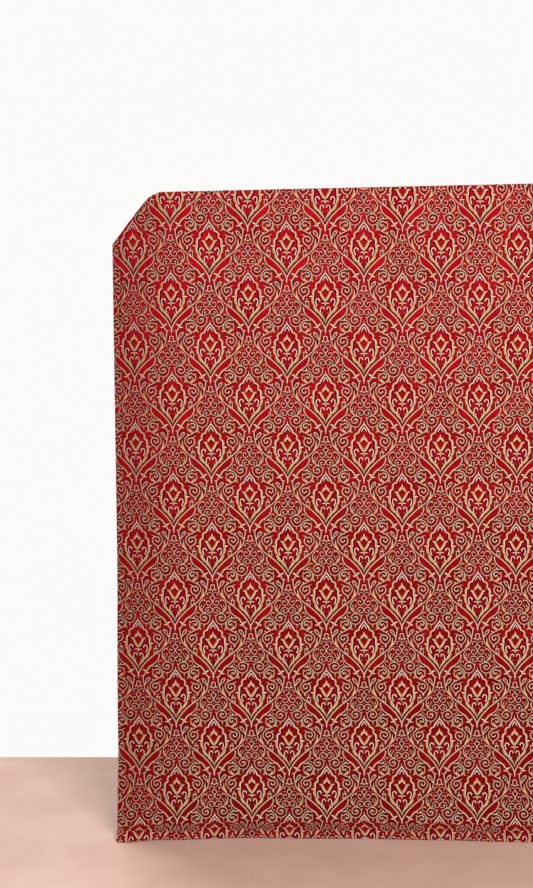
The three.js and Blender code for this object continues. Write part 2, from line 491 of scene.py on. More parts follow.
def places_along(across):
    """Rows from the lower edge to the turned back edge, one list for each place across."""
    upright = upright_length(across)
    rolled = lowest(across) + LAST
    marks = (
        lowest(across), rolled, rolled + ROLL_LENGTH, -CREASE_LENGTH, 0, NEAR_FOOT,
        upright, upright + fold_length(across), highest(across),
    )
    marks = [mark + 0 * across for mark in marks]
    rows = []
    for low, high, count in zip(marks, marks[1:], ROWS_BETWEEN_MARKS):
        rows += [low + (high - low) * step / count for step in range(count)]
    return np.array([*rows, marks[-1]]).T


columns = places_across()
ALONG = places_along(columns)
ACROSS = np.repeat(columns[:, None], ALONG.shape[1], axis=1)
print("grid:", ACROSS.shape)

# %% Closed sheet
MAP_MARGINS = (0.005, 0.003)
SHEET_ENDS = (-0.08, 1.02)
FIGURE_ENDS = (-0.09, 1.03)
FRONT_HALF = (0.5, 1.0)
BACK_HALF = (0.0, 0.495)


def bake_place(across, along, sides, ends, low=0.0, high=1.0):
    """A place on the map that a finish is kept on, from a point's place between limits."""
    right = (across - sides[0]) / (sides[1] - sides[0])
    up = low + (high - low) * (along - ends[0]) / (ends[1] - ends[0])
    kept_in = [edge + (1 - 2 * edge) * place for edge, place in zip(MAP_MARGINS, (right, up))]
    return np.stack(kept_in, axis=-1)


def linked(name, data):
    thing = bpy.data.objects.new(name, data)
    bpy.context.collection.objects.link(thing)
    return thing


def mesh_of(name, points, faces, flat, bake, materials, material_index=None, attributes=None):
    """A mesh from arrays: triangles or squares, the flat places and bake places of its points."""
    mesh = bpy.data.meshes.new(name)
    sides = faces.shape[1]
    mesh.vertices.add(len(points))
    mesh.vertices.foreach_set("co", points.astype(np.float32).ravel())
    mesh.loops.add(faces.size)
    mesh.loops.foreach_set("vertex_index", faces.astype(np.int32).ravel())
    mesh.polygons.add(len(faces))
    mesh.polygons.foreach_set("loop_start", np.arange(0, faces.size, sides, dtype=np.int32))
    if material_index is not None:
        mesh.polygons.foreach_set("material_index", material_index.astype(np.int32))
    for map_name, place in (("flat", flat), ("OFBake", bake)):
        layer = mesh.uv_layers.new(name=map_name)
        layer.data.foreach_set("uv", place[faces.ravel()].astype(np.float32).ravel())
    for attribute_name, values in (attributes or {}).items():
        layer = mesh.attributes.new(attribute_name, "FLOAT", "POINT")
        layer.data.foreach_set("value", values.astype(np.float32))
    for material in materials:
        mesh.materials.append(material)
    mesh.update(calc_edges=True)
    mesh.validate()
    mesh.shade_smooth()
    return linked(name, mesh)


def sheet_piece():
    count = ACROSS.size
    across, along = ACROSS.ravel(), ALONG.ravel()
    lifts = (THICKNESS / 2, -THICKNESS / 2)
    points = np.concatenate([hang(across, along, lift + 0 * across) for lift in lifts])
    number = np.arange(count).reshape(ACROSS.shape)
    corners = [number[:-1, :-1], number[1:, :-1], number[1:, 1:], number[:-1, 1:]]
    front = np.stack(corners, axis=-1).reshape(-1, 4)
    rim = np.concatenate([number[:, 0], number[-1, 1:], number[-2::-1, -1], number[0, -2:0:-1]])
    after = np.roll(rim, -1)
    edge = np.stack([rim, rim + count, after + count, after], axis=-1)
    faces = np.concatenate([front, front[:, ::-1] + count, edge])
    flat = np.tile(np.stack([across, along], axis=-1), (2, 1))
    bake = np.concatenate([
        bake_place(across, along, (0, WIDTH), SHEET_ENDS, *half) for half in (FRONT_HALF, BACK_HALF)
    ])
    index = np.repeat([0, 1, 0], [len(front), len(front), len(edge)])
    return mesh_of("damask_cloth", points, faces, flat, bake, [velvet_pile, plain_back], index)


cloth = sheet_piece()
print("cloth:", len(cloth.data.polygons), "faces")

# %% [markdown]
# The damask repeat is an ogee lattice with a medallion in each cell. It is a traditional
# figure, charted here: each stroke is a few points in millimetres from the middle of the
# medallion, on the right half only, with its tone, the side its shade lies on and its widths
# from end to end. The left half mirrors it. An image could carry such a figure, but strokes
# stay sharp at any distance and their yarns stand up from the ground.

# %% Chart of the repeat
def arc(x, y, radius, start, end, last_radius):
    """Points round a centre, from one angle to another in degrees, while the radius changes."""
    steps = max(3, round(abs(end - start) / 40))
    points = []
    for step in range(steps + 1):
        angle = math.radians(start + (end - start) * step / steps)
        size = radius + (last_radius - radius) * step / steps
        points.append((x + size * math.cos(angle), y + size * math.sin(angle)))
    return points


CHART = {
  "frame": [
    ("sage", 1, (2.3, 2.3, 2.3, 2.2, 2, 1.9, 2, 2.4), [(0, -50.3), (1.7, -47), (3.4, -43.8), (6, -39.6),
        (9, -35.6), (13, -31.3), (17.5, -26.9), (22.5, -22.6), (27.5, -19), (32, -15.4), (36.5, -11.2),
        (40.5, -7.3), (43.6, -3.6), (45.4, 0.5), (46.2, 5), (47.1, 10), (47.8, 14.5), (47.5, 17.6),
        (45.8, 20.2), (43.8, 22.6)]),
    ("cream", 0, (2.6, 2.4, 2, 0.8), [(0, -48.6), (0, -52), (0, -55), (0, -58)]),
  ],
  "leaf rim": [
    ("gold", 1, (2.8, 2.9, 3.1, 2.6), [(43.2, 24.4), (41.3, 27.6), (39, 31), (36.3, 33.6), (33.5, 35.4)]),
    ("sage", 1, (2.4, 2, 1.9, 2, 2.2, 2.3, 2.4), [(34.6, 34.8), (33.5, 35.4), (30.5, 37.3), (27.7, 40),
        (25.4, 43.3), (24, 46.5), (23.5, 49.2), (24, 52)]),
  ],
  "neck star": [
    ("gold", 0, (4.8, 5.2), [(43.3, 26.6), (43.5, 22.2)]),
    ("cream", 0, (3.2, 2.2, 0.3), [(42.8, 23.8), (40.3, 22.9), (37.4, 23.5)]),
    ("cream", 0, (3.2, 2.4, 0.3), [(43.6, 25.6), (46.2, 27), (49.4, 28.4)]),
    ("sage", 0, (3, 2.6, 0.4), [(46.8, 17.3), (48.8, 18.1), (51.1, 18.8)]),
  ],
  "teardrop leaf": [
    ("sage", 1, (1.8, 1.8, 1.8, 2.2, 2.2, 1.6, 1.5), [(44.2, 7.4), (41.4, 9.5), (39.1, 11.9), (37.8, 14.2),
        (38.5, 16.1), (40.6, 15.3), (42.7, 13.5), (44, 10.8), (44.5, 8)]),
    ("cream", 0, (2.4, 2.2), [(44.1, 7.9), (45.3, 5.2)]),
  ],
  "inner leaf": [
    ("gold", 1, (0.8, 2, 3.2, 3.6, 3, 1.2), [(41.5, 4.8), (40.8, 1.5), (40.8, -2), (40.2, -4.6), (38.7, -7),
        (36.4, -9.8)]),
  ],
  "flower": [
    ("sage", 0, (1.7, 1.9, 1.6), [(26.3, -7.2), (26.4, -9.4), (26, -12)]),
    ("cream", 0, (1.8, 1.6, 2), [(22.7, -12.2), (25.5, -12), (28.9, -12.3)]),
    ("sage", 0, (1.5, 1.6, 1.8), [(24.2, -12.6), (23.3, -15), (23.4, -17.6), (23.6, -20.6)]),
    ("sage", 0, (1.5, 1.6, 1.8), [(27.4, -12.6), (28, -14.8), (27.2, -17), (25.6, -19.2)]),
    ("gold", 0, (2.2, 2.8), [(24.6, -18.4), (23.9, -20.8)]),
  ],
  "lower scroll": [
    ("sage", -1, (0.5, 1.9, 2.1, 2, 2, 2, 2.1, 2.3), [(20.8, 10.6), (23.6, 10), (25.9, 8.5)]
        + arc(30.2, 3.9, 4.4, 115, -165, 2.4) + [(28.9, 4.2)]),
    ("sage", 1, (1.8, 2.1, 2.2, 2.1, 2), [(26.6, 8), (24.4, 6.8), (23.3, 4.3), (23.4, 1.3), (24.8, -1.4),
        (27.2, -3.4), (29.6, -4.6), (31, -6.6)]),
    ("sage", -1, (1.8, 1.8, 1.8, 1.8, 1.7), [(23.8, 16.2), (27.3, 14.3), (31, 12.6), (34.3, 10.7),
        (36.8, 7.9), (37.8, 4.6), (37.3, 1.2), (35.4, -1.8), (33.3, -4.2), (31.5, -6.6)]),
    ("sage", 0, (2.8, 3.4, 2.6), [(31.1, -5), (31.2, -7.8), (31, -9.9)]),
    ("cream", 0, (3.4, 0.3), [(32.2, 12.4), (34.8, 14.9)]),
  ],
  "upper scroll": [
    ("sage", 1, (1.6, 1.8, 1.8, 1.7, 1.7, 1.8), [(34.8, 34), (31.5, 33.2), (28, 33.2), (24.8, 32.6),
        (22, 31), (20.2, 28.7), (19.5, 26), (19.6, 23.3), (20.4, 20.5), (21.9, 18), (23.8, 16.2)]),
    ("cream", 0, (3.2, 1.8, 0.2), [(28.1, 33.2), (27, 35), (26.3, 37)]),
    ("gold", -1, (1, 1.9, 1.8, 2.2, 2.6, 2.8, 2.4), [(33.9, 30), (33, 27.5), (33.5, 24.5), (33.3, 21.5),
        (31.8, 18.9), (29.2, 17.3), (26.5, 16.2), (24, 16.2)]),
    ("sage", 0, (0.8, 2.4), [(31, 28.8), (32.8, 27)]),
    ("sage", 0, (0.6, 2, 2.8, 2.6, 1.6), [(29.3, 23.2), (29.9, 21.2), (29.6, 19.5), (28, 18.1), (26, 17)]),
    ("sage", 1, (1.4, 1.7, 2.3, 2.2, 2.2, 2.4), [(32.2, 26.3), (30, 27.8)] + arc(25.8, 25.4, 4.2, 62, 330, 2)
        + [(26.3, 25.2)]),
    ("gold", 0, (2, 2), [(24.2, 24.4), (25.2, 24)]),
  ],
  "join": [
    ("gold", 0, (1.6, 1.9, 2.2, 2.8, 2), [(18.3, 26), (18.3, 22.8), (18.9, 19.6), (18.2, 17.2),
        (16.2, 16.3)]),
    ("sage", 0, (2.2, 2, 2.2), [(18.9, 19.3), (20.6, 17.9), (23.8, 16.2)]),
  ],
  "tip scroll": [
    ("sage", 1, (1.8, 1.7, 1.6, 1.7, 1.7, 1.5, 1.3), [(2.2, 38.1), (3.8, 36.4), (4.2, 33.5), (4.7, 30.4),
        (6.2, 27.4), (8.8, 25.1), (12, 24), (15.3, 24.7), (18.3, 26.3), (19.8, 28.8)]),
    ("sage", -1, (1.5, 1.7, 1.8, 1.8, 1.8, 2, 1.8), [(4.4, 35.8), (6.7, 38.4), (9.6, 39.8)]
        + arc(12.8, 33.9, 6, 75, -175, 3.7) + [(10.3, 35.4), (12.5, 35.6), (14, 34.3), (13.4, 32.8)]),
    ("sage", 0, (2, 2), [(10.6, 33.6), (12.2, 34.2)]),
    ("sage", 0, (1.5, 1.8, 0.8), [(12.3, 24.2), (12.5, 21.4), (13.2, 18.2)]),
  ],
  "small curl": [
    ("gold", 1, (1.2, 1.4, 1.4, 1.8, 2.2), [(18.9, 35), (21.5, 34.8), (23.8, 36), (24.7, 38.5), (23.8, 41),
        (21.8, 42), (20.2, 41), (20.3, 39.8)]),
  ],
  "heart curls": [
    ("sage", -1, (1.7, 1.7, 1.7, 1.4, 1.5), [(0, 45), (1.6, 47.5), (4.2, 49.1), (7.2, 48.9), (9.6, 47),
        (10.5, 44.3), (10.3, 42), (9.9, 40.3)]),
    ("sage", 1, (1.5, 1.5, 1.6, 2.1), [(0, 45), (1.3, 42.5), (3.4, 41.1), (5.8, 41.2), (7.4, 42.8),
        (7.1, 44.9), (5.6, 45), (5.8, 43.6)]),
    ("cream", 0, (2.2, 2.2), [(0, 46), (0, 44)]),
    ("cream", 0, (1.5, 1.5), [(0, 51.6), (0, 50.4)]),
  ],
  "crown curls": [
    ("cream", 1, (1.4, 1.5, 1.4, 1.3), [(0, 58), (1.9, 60.4), (3.5, 62.9), (2.3, 64.9), (0, 66.4)]),
    ("cream", 0, (0.9, 0.8, 1), [(3.4, 63.2), (6.5, 63), (9.5, 62.8), (12, 61.4)]),
    ("sage", 1, (1.6, 1.6, 1.6, 1.6, 1.9), [(0, 58), (1.2, 54.9), (3.2, 52.6), (5.6, 51.8), (8, 53.2),
        (8.8, 56), (7.8, 58.4), (6.1, 58.8), (4.6, 57.4), (4.6, 56.2)]),
    ("cream", 0, (2.2, 2.2), [(0, 59), (0, 57)]),
    ("sage", -1, (1, 1.2, 1.3, 1.5, 2.1), [(0, 66.6), (1.4, 69.2), (3.6, 70.9), (6, 70.6), (7.5, 68.9),
        (7.1, 66.9), (5.9, 67.1)]),
    ("sage", 0, (1.2, 1.4), [(0, 65), (0, 69.4)]),
  ],
  "bracket leaf": [
    ("sage", -1, (2.6, 1.9, 1.8, 1.7, 1.8, 1.9, 2.1, 1.9, 1.8), [(11, 57.8), (12, 59.7), (13.9, 60),
        (16.1, 58.6), (18.1, 56.2), (19.4, 53.2), (19.6, 50), (18.9, 47), (17.3, 44.3), (14.9, 42.3),
        (12.3, 41), (9.9, 40.3)]),
    ("gold", 0, (1.1, 2.5, 2.8, 1.6), [(17.4, 49.6), (17.1, 47), (16, 44.8), (14.3, 42.9)]),
    ("sage", 0, (1.9, 1.6, 1.3, 1.6), [(11.3, 53.3), (12.4, 50.6), (13.7, 48), (15.6, 45.6)]),
    ("cream", 0, (1.1, 1.3, 1.6), [(15.3, 53.3), (16, 51.2), (17.3, 49.4)]),
  ],
  "bell flower": [
    ("cream", 1, (1.6, 1.7, 1.5, 1.5, 1.9, 1.2), [(0, -60.7), (2.3, -61.9), (2.8, -64), (2.7, -66.2),
        (3.8, -68), (5.9, -68.8)]),
    ("gold", 0, (1.9, 2, 1.4), [(0, -68.6), (2.6, -69), (5.2, -69)]),
    ("sage", 0, (1.7, 1.4), [(2.9, -62.4), (3.3, -62.1)]),
    ("cream", 0, (1.9, 1.3, 0.7), [(0, -68.4), (0, -70.5), (0, -72.6)]),
  ],
  "medallion": [
    ("cream", 0, (0.4, 1.3, 1.9, 1.9), [(0, 33.2), (0, 31), (0, 28.8), (0, 26.8)]),
    ("cream", 0, (1.9, 2.2, 2.3, 2.4, 2.5, 2.5), [(-0.5, 29.2), (1.6, 26.6), (3.6, 24), (5.6, 21.2),
        (7.1, 18.4), (8.3, 15.4)]),
    ("olive", 0, (2, 2.2, 2.2, 2, 1.4), [(-0.3, 26.3), (1.7, 24), (3.5, 21.2), (4.9, 18.5), (5.8, 16.1)]),
    ("cream", 0, (1.9, 2, 1.8, 1.2), [(-0.3, 23.9), (1.4, 21.8), (2.9, 19.2), (3.9, 16.7)]),
    ("gold", -1, (2.4, 3, 3.3, 3.3, 3.3, 3.2), [(7, 15.6), (9.4, 15.3), (11.7, 14.2), (13.2, 12.2),
        (13.6, 9.6), (12.9, 6.2)]),
    ("sage", -1, (2.8, 3.4, 3.7, 3.7, 3.4), [(12.4, 6.6), (15.2, 5.5), (17, 3.4), (17.6, 0.4),
        (16.9, -3.8)]),
    ("cream", 0, (3.8, 2.7, 0.3), [(18, -4.8), (20.8, -5), (23.5, -4.6)]),
    ("gold", -1, (3.4, 4, 4.2, 3.8, 2.8), [(16.8, -2.8), (18.1, -6.8), (18.4, -10.4), (17.7, -13.8),
        (15.6, -17)]),
    ("gold", -1, (3, 4.6, 4.8, 4, 2.8), [(15.9, -16.6), (15.2, -20.2), (13.4, -23.6), (11, -26.4),
        (7.8, -28.8)]),
    ("gold", -1, (3.2, 4.2, 3.4, 2.4, 1.5, 0.8), [(8.6, -28.4), (6.4, -31.2), (4, -33.8), (1.9, -37),
        (0.6, -40.4), (0, -43.4)]),
    ("gold", 0, (2.6, 0.4), [(5.2, -30.4), (3.1, -27.6)]),
  ],
  "palmette": [
    ("cream", 0, (0.4, 1.8, 3, 3.4), [(0, 13.4), (0, 11.6), (0, 9.8), (0, 8.2)]),
    ("gold", -1, (3.6, 4.4, 4.4, 3.4), [(-0.8, 8.4), (1.9, 7.6), (3.4, 5.4), (4.9, 3)]),
    ("gold", -1, (3.2, 3.6, 3, 0.5), [(5.6, 2.2), (7.2, 1.4), (8.8, 1.5), (11.2, 2.9)]),
    ("gold", 1, (4, 4.3, 4.3, 4.1, 3.4), [(7.3, 0.7), (5.6, -2.5), (3.8, -5.6), (1.9, -8.5), (-0.5, -11.3)]),
  ],
  "tulip": [
    ("cream", 0, (2.6, 2, 0.4), [(0, -14.2), (3, -14.1), (6.2, -14.9)]),
    ("gold", 0, (3, 4.4, 3.2, 1.7, 0.4), [(0, -12.2), (0, -14.8), (0, -16.6), (0, -18.2), (0, -20)]),
  ],
  "hook curl": [
    ("cream", -1, (2.6, 2.1, 1.9, 1.9, 2.1, 2.6), [(8.4, -11.8), (8.3, -9.9), (9.5, -8.4), (11.2, -8),
        (12.9, -9.2), (13.7, -11.5), (13.3, -14), (12.3, -16.2), (11.9, -18.6)]),
  ],
  "heart hook": [
    ("cream", -1, (2.3, 1.9, 1.7, 1.8, 2.4), [(2.2, -23.5), (2.3, -21.3), (4.2, -19.8), (6.1, -20.9),
        (7, -23.4), (6.9, -26), (7.2, -28.2)]),
  ],
}
print("strokes charted:", sum(len(strokes) for strokes in CHART.values()))

# %% [markdown]
# A stroke's points are joined by one smooth line and thinned again where it hardly bends, so
# that the repeat keeps few faces. The ends are rounded by narrowing the ribbon there.

# %% Smooth strokes
DRAWN_IN = 0.5
THINNEST = 0.3
ROUNDED_FROM = 0.9
LONGEST_SPAN = 9


def smooth(points, widths, step=0.35):
    """A close line of x, y and width through a stroke's points, its ends rounded."""
    points = np.array(points, float)
    if len(points) == 2:
        points = np.array([points[0], (points[0] + points[1]) / 2, points[1]])
    ends = np.vstack([2 * points[0] - points[1], points, 2 * points[-1] - points[-2]])
    line = []
    for index in range(1, len(ends) - 2):
        four = ends[index - 1:index + 3]
        gaps = np.maximum(np.linalg.norm(np.diff(four, axis=0), axis=1), 1e-6)
        knots = np.concatenate([[0], np.cumsum(gaps**0.5)])
        count = max(2, int(np.linalg.norm(four[2] - four[1]) / step))
        place = np.linspace(knots[1], knots[2], count, endpoint=False)[:, None]
        level = list(four)
        for reach in (1, 2, 3):
            spans = []
            for start in range(len(level) - 1):
                first, last = (start, start + reach) if reach < 3 else (1, 2)
                part = (place - knots[first]) / (knots[last] - knots[first])
                spans.append(level[start] + (level[start + 1] - level[start]) * part)
            level = spans
        line.append(level[0])
    line = np.vstack([*line, points[-1:]])
    run = np.concatenate([[0], np.cumsum(np.linalg.norm(np.diff(line, axis=0), axis=1))])
    width = np.interp(run / run[-1], np.linspace(0, 1, len(widths)), widths)
    width = np.maximum(width - DRAWN_IN, THINNEST)
    for from_end, last_width in ((run, widths[0]), (run[-1] - run, widths[-1])):
        if last_width > ROUNDED_FROM:
            part = np.clip(from_end / (last_width / 2), 0, 1)
            width = width * np.sqrt(np.clip(1 - (1 - part) ** 2, 0.02, 1))
    return np.column_stack([line, width])


def thinned(line, tolerance):
    """The same line with fewer points, nowhere further off than the tolerance."""
    keep = np.zeros(len(line), bool)
    keep[[0, -1]] = True
    spans = [(0, len(line) - 1)]
    while spans:
        start, end = spans.pop()
        if end <= start + 1:
            continue
        chord = line[end] - line[start]
        length = np.linalg.norm(chord[:2]) + 1e-9
        offset = line[start + 1:end] - line[start]
        beside = np.abs(offset[:, 0] * chord[1] - offset[:, 1] * chord[0]) / length
        part = (offset[:, 0] * chord[0] + offset[:, 1] * chord[1]) / length**2
        error = np.maximum(beside, np.abs(offset[:, 2] - part * chord[2]) * 0.5)
        worst = int(error.argmax())
        if error[worst] > tolerance or length > LONGEST_SPAN:
            middle = start + 1 + (worst if error[worst] > tolerance else (end - start) // 2 - 1)
            keep[middle] = True
            spans += [(start, middle), (middle, end)]
    return line[keep]


def sideways(line):
    """Unit vectors to the left of a line."""
    run = np.gradient(line[:, :2], axis=0)
    run /= np.linalg.norm(run, axis=1, keepdims=True) + 1e-9
    return np.column_stack([-run[:, 1], run[:, 0]])


print("strokes are drawn in by", DRAWN_IN, "mm")

# %% [markdown]
# The dark yarn around a stroke is a wider ribbon under it, moved a little towards its shaded
# side; part of it is painted shadow that the raised stroke casts on the pile. Round a thin
# stroke it is narrower. Both sets of strokes become loose edges that carry their widths, which
# Geometry Nodes can sweep.

# %% Figure and outline charts
FIGURE_TOLERANCE = 0.15
OUTLINE_TOLERANCE = 0.3
OUTLINE_MARGIN = 1.4
FULL_WIDTH = 2.7
LEAST_SHARE = 0.7
OUTLINE_SHIFT = 0.6
LIFTS = 7
LIFT_STEP = 0.00002


def both_halves():
    """Every stroke as its line, tone and lean, the mirrored ones too."""
    for strokes in CHART.values():
        for tone, lean, widths, points in strokes:
            line = smooth(points, widths)
            yield line, TONES[tone], lean
            if max(abs(x) for x, _ in points) > 1e-6:
                yield line * (-1, 1, 1), TONES[tone], -lean


def figure_strokes():
    return [(thinned(line, FIGURE_TOLERANCE), tone, lean) for line, tone, lean in both_halves()]


def outline_strokes():
    made = []
    for line, tone, lean in both_halves():
        wide = line.copy()
        wide[:, :2] += sideways(line) * lean * OUTLINE_SHIFT
        wide[:, 2] += 2 * OUTLINE_MARGIN * np.clip(line[:, 2] / FULL_WIDTH, LEAST_SHARE, 1.0)
        made.append((thinned(wide, OUTLINE_TOLERANCE), tone, lean))
    return made


def chart_mesh(name, strokes):
    """The strokes as loose edges in metres, each point with its width, tone, lean and lift."""
    count = 0
    points, edges, values = [], [], []
    for order, (line, tone, lean) in enumerate(strokes):
        points += [(x / 1000, y / 1000, 0) for x, y, _ in line]
        edges += [(count + step, count + step + 1) for step in range(len(line) - 1)]
        lift = LIFT_STEP * (order % LIFTS)
        values += [(width / 1000, tone, lean, lift) for width in line[:, 2]]
        count += len(line)
    mesh = bpy.data.meshes.new(name)
    mesh.from_pydata(points, edges, [])
    for column, attribute_name in enumerate(("width", "tone", "lean", "lift")):
        layer = mesh.attributes.new(attribute_name, "FLOAT", "POINT")
        layer.data.foreach_set("value", np.array(values, np.float32)[:, column])
    print(name, "has", len(edges), "spans for each medallion")
    return mesh


figure_chart = chart_mesh("figure_chart", figure_strokes())
outline_chart = chart_mesh("outline_chart", outline_strokes())

# %% [markdown]
# Weaving repeats the chart. Geometry Nodes sweep each stroke into a flat ribbon of its width,
# and set the unit down over the cloth on two grids, half a repeat apart both ways. Copies
# could be placed one by one, but the tree repeats whatever the chart says.

# %% Weaving tree
def weaving_tree():
    tree = bpy.data.node_groups.new("weave the repeat", "GeometryNodeTree")
    inputs = {
        "Geometry": "Geometry", "Repeat across": "Float", "Repeat along": "Float",
        "Columns": "Int", "Rows": "Int", "Middle": "Vector", "Yarn": "Material",
    }
    for name, kind in inputs.items():
        tree.interface.new_socket(name, in_out="INPUT", socket_type="NodeSocket" + kind)
    tree.interface.new_socket("Geometry", in_out="OUTPUT", socket_type="NodeSocketGeometry")
    bench = Bench(tree)
    given = bench.made("NodeGroupInput")
    into = {socket.name: Value(bench, socket) for socket in given.outputs if socket.name}
    curve = bench.node("GeometryNodeMeshToCurve", None, {"Mesh": into["Geometry"]})
    curve = bench.node("GeometryNodeSetCurveNormal", {"mode": "Z_UP"}, {"Curve": curve})
    profile = bench.node("GeometryNodeCurvePrimitiveLine", None, {"Start": (-0.5, 0, 0), "End": (0.5, 0, 0)})
    along_profile = bench.node("GeometryNodeInputIndex") * 2 - 1
    profile = bench.node(
        "GeometryNodeStoreNamedAttribute", {"data_type": "FLOAT", "domain": "POINT"},
        {"Geometry": profile, "Name": "edge", "Value": along_profile},
    )
    width = bench.node("GeometryNodeInputNamedAttribute", {"data_type": "FLOAT"}, {"Name": "width"})
    ribbon = bench.node(
        "GeometryNodeCurveToMesh", None, {"Curve": curve, "Profile Curve": profile, "Scale": width}
    )
    size = [into["Repeat across"] * (into["Columns"] - 1), into["Repeat along"] * (into["Rows"] - 1)]
    grid_values = {"Vertices X": into["Columns"], "Vertices Y": into["Rows"]}
    grid = bench.node("GeometryNodeMeshGrid", None, {"Size X": size[0], "Size Y": size[1], **grid_values})
    half = bench.node(
        "ShaderNodeCombineXYZ", None, {"X": into["Repeat across"] * -0.5, "Y": into["Repeat along"] * -0.5}
    )
    shifted = bench.node("GeometryNodeTransform", None, {"Geometry": grid, "Translation": half})
    both = bench.made("GeometryNodeJoinGeometry")
    for value in (grid, shifted):
        tree.links.new(value.socket, both.inputs[0])
    joined = Value(bench, both.outputs[0])
    placed = bench.node("GeometryNodeTransform", None, {"Geometry": joined, "Translation": into["Middle"]})
    woven = bench.node("GeometryNodeInstanceOnPoints", None, {"Points": placed, "Instance": ribbon})
    woven = bench.node("GeometryNodeRealizeInstances", None, {"Geometry": woven})
    woven = bench.node("GeometryNodeSetMaterial", None, {"Geometry": woven, "Material": into["Yarn"]})
    bench.made("NodeGroupOutput", None, {"Geometry": woven})
    return tree


WEAVING = weaving_tree()
HALF_ACROSS = 0.0546
HALF_ALONG = 0.07165
MEDALLION_ACROSS = 0.2505
MEDALLION_ALONG = -0.3705 - CREASE_TOP
COLUMNS = 14
ROWS = 8
REPEATS_RIGHT = 4.5
REPEATS_DOWN = 0.5
print("weaving tree has", len(WEAVING.nodes), "nodes")

# %% Weave the flat figure
def arrays_of(mesh, sides, names):
    """A mesh's points, its faces of so many sides and its named numbers; the mesh is removed."""
    points = np.empty(len(mesh.vertices) * 3, np.float32)
    mesh.vertices.foreach_get("co", points)
    corners = np.empty(len(mesh.loops), np.int32)
    mesh.loops.foreach_get("vertex_index", corners)
    values = {name: np.empty(len(mesh.vertices), np.float32) for name in names}
    for name, numbers in values.items():
        mesh.attributes[name].data.foreach_get("value", numbers)
    bpy.data.meshes.remove(mesh)
    return points.reshape(-1, 3).astype(float), corners.reshape(-1, sides), values


def woven_arrays(chart, material):
    """The repeat over the whole flat cloth: its points, squares and attributes."""
    holder = linked(chart.name, chart)
    modifier = holder.modifiers.new("weave", "NODES")
    modifier.node_group = WEAVING
    middle = (
        MEDALLION_ACROSS + 2 * HALF_ACROSS * REPEATS_RIGHT,
        MEDALLION_ALONG - 2 * HALF_ALONG * REPEATS_DOWN,
        0,
    )
    wanted = {
        "Repeat across": 2 * HALF_ACROSS, "Repeat along": 2 * HALF_ALONG,
        "Columns": COLUMNS, "Rows": ROWS, "Middle": middle, "Yarn": material,
    }
    for item in WEAVING.interface.items_tree:
        if item.in_out == "INPUT" and item.name in wanted:
            modifier[item.identifier] = wanted[item.name]
    evaluated = holder.evaluated_get(bpy.context.evaluated_depsgraph_get())
    mesh = bpy.data.meshes.new_from_object(evaluated)
    holder.modifiers.remove(modifier)
    bpy.data.objects.remove(holder)
    return arrays_of(mesh, 4, ("tone", "lean", "edge", "lift"))


flat_figure = woven_arrays(figure_chart, figured)
print("flat figure:", len(flat_figure[0]), "points,", len(flat_figure[1]), "squares")

# %% [markdown]
# The flat ribbons are cut where the cloth is cut, and sliced into short lengths where they
# turn over the fold and round the creased foot, so that they lie on it there. Then they are
# hung by the same function as the cloth, a hair above its face.

# %% Cut and slice
ZONE = 0.008
CREASE_CUTS = 4
ROLL_CUTS = 5
FOLD_CUTS = 8


def sliced(points, faces, values):
    """The faces of the fold, the foot and the edges, cut to the cloth and sliced to bend."""
    mesh = bpy.data.meshes.new("zone")
    mesh.from_pydata(points, [], faces.tolist())
    for name, numbers in values.items():
        mesh.attributes.new(name, "FLOAT", "POINT").data.foreach_set("value", numbers.astype(np.float32))
    shape = bmesh.new()
    shape.from_mesh(mesh)

    def change_along(change, start, unit):
        vertices = list(shape.verts)
        across = np.array([vertex.co.x for vertex in vertices])
        along = np.array([vertex.co.y for vertex in vertices])
        for vertex, value in zip(vertices, change(along, start(across), unit(across))):
            vertex.co.y = value

    def cut(height, normal, clear, start=lambda across: 0, unit=lambda across: 1):
        """Cut at a height along, or across, counted from a start and in a unit."""
        change_along(lambda along, first, size: (along - first) / size, start, unit)
        place = (height, 0, 0) if normal[0] else (0, height, 0)
        bmesh.ops.bisect_plane(
            shape, geom=shape.verts[:] + shape.edges[:] + shape.faces[:], dist=1e-7,
            plane_co=place, plane_no=normal, clear_outer=clear,
        )
        change_along(lambda along, first, size: along * size + first, start, unit)

    cut(0.0, (-1, 0, 0), True)
    cut(WIDTH, (1, 0, 0), True)
    cut(0.0, (0, -1, 0), True, lowest)
    cut(0.0, (0, 1, 0), True, highest)
    for step in range(CREASE_CUTS + 1):
        cut(-CREASE_LENGTH * step / CREASE_CUTS, (0, 1, 0), False)
    for step in range(ROLL_CUTS + 1):
        cut(LAST + ROLL_LENGTH * step / ROLL_CUTS, (0, 1, 0), False, lowest)
    for step in range(FOLD_CUTS + 1):
        cut(step / FOLD_CUTS, (0, 1, 0), False, upright_length, fold_length)
    bmesh.ops.triangulate(shape, faces=shape.faces)
    shape.to_mesh(mesh)
    shape.free()
    return arrays_of(mesh, 3, list(values))


def taken(points, faces, values):
    """Only the points that the faces use."""
    used, numbers = np.unique(faces, return_inverse=True)
    own_values = {name: value[used] for name, value in values.items()}
    return points[used], numbers.reshape(faces.shape), own_values


def fitted(points, faces, values):
    """The flat figure as triangles, cut to the cloth's edges."""
    across, along = points[:, 0], points[:, 1]
    bottom, top = lowest(across), highest(across)
    inside = (across > 0) & (across < WIDTH) & (along > bottom) & (along < top)
    faces = faces[inside[faces].any(axis=1)]
    near = (across < ZONE) | (across > WIDTH - ZONE)
    near |= (along < ZONE) | (along > upright_length(across) - ZONE)
    zone = near[faces].any(axis=1)
    squares = faces[~zone]
    plain = np.concatenate([squares[:, [0, 1, 2]], squares[:, [0, 2, 3]]])
    first = taken(points, plain, values)
    second = sliced(*taken(points, faces[zone], values))
    joined = np.concatenate([first[0], second[0]])
    triangles = np.concatenate([first[1], second[1] + len(first[0])])
    joined_values = {name: np.concatenate([first[2][name], second[2][name]]) for name in values}
    return joined, triangles, joined_values


